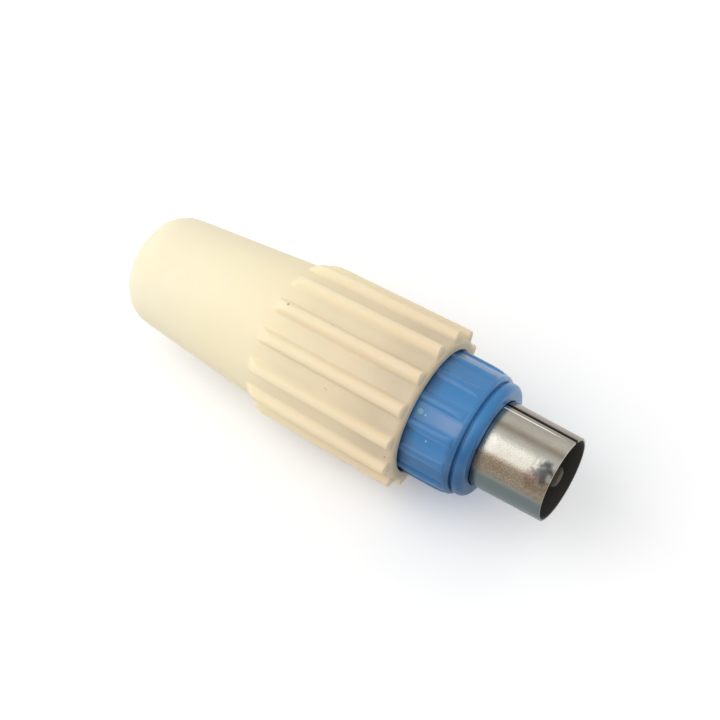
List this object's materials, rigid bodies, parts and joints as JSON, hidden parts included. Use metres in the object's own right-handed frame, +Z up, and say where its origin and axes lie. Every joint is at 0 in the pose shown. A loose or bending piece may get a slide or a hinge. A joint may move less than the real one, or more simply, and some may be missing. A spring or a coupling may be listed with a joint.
{
  "type": "coaxial plug",
  "caption": "Aerial coaxial plug: ribbed screw cap with a conical tail over a ribbed insert, rolled outer contact tube with an open seam, and a centre pin for a coaxial cable.",
  "frame": {"origin": "centre of the outer contact's front edge, on the plug's axis", "axes": "+X along the plug's axis out of the mating end, +Z up; the plug lies on two ribs of its cap"},
  "size_m": [0.0513, 0.0182, 0.018],
  "materials": {
    "ivory_plastic": "satin moulded ivory plastic, slightly translucent",
    "blue_plastic": "satin moulded blue plastic",
    "plated_sheet": "nickel plated rolled sheet, finely pitted",
    "pale_insulator": "waxy moulded insulator",
    "pin_metal": "turned, dull plated brass",
    "screw_steel": "zinc plated steel",
    "clamp_sheet": "tin plated sheet"
  },
  "bodies": {
    "plug": {"insert_body": "blue_plastic", "outer_contact": "plated_sheet", "pin_carrier": "pale_insulator", "centre_pin": "pin_metal", "terminal_screw": "screw_steel"},
    "clamp": {"cable_grip": "clamp_sheet"},
    "cap": {"grip_cap": "ivory_plastic"}
  },
  "joints": [
    {"name": "clamp_slide", "type": "slide", "parent": "plug", "child": "clamp", "axis": [-1, 0, 0], "range_m": [0, 0.0061]},
    {"name": "cap_turn", "type": "hinge", "parent": "clamp", "child": "cap", "pos_m": [-0.03, 0, 0], "axis": [-1, 0, 0], "range_deg": [0, 1440]}
  ],
  "couplings": [
    {"joint": "clamp_slide", "follows": "cap_turn", "m_per_rad": 0.00023873}
  ]
}
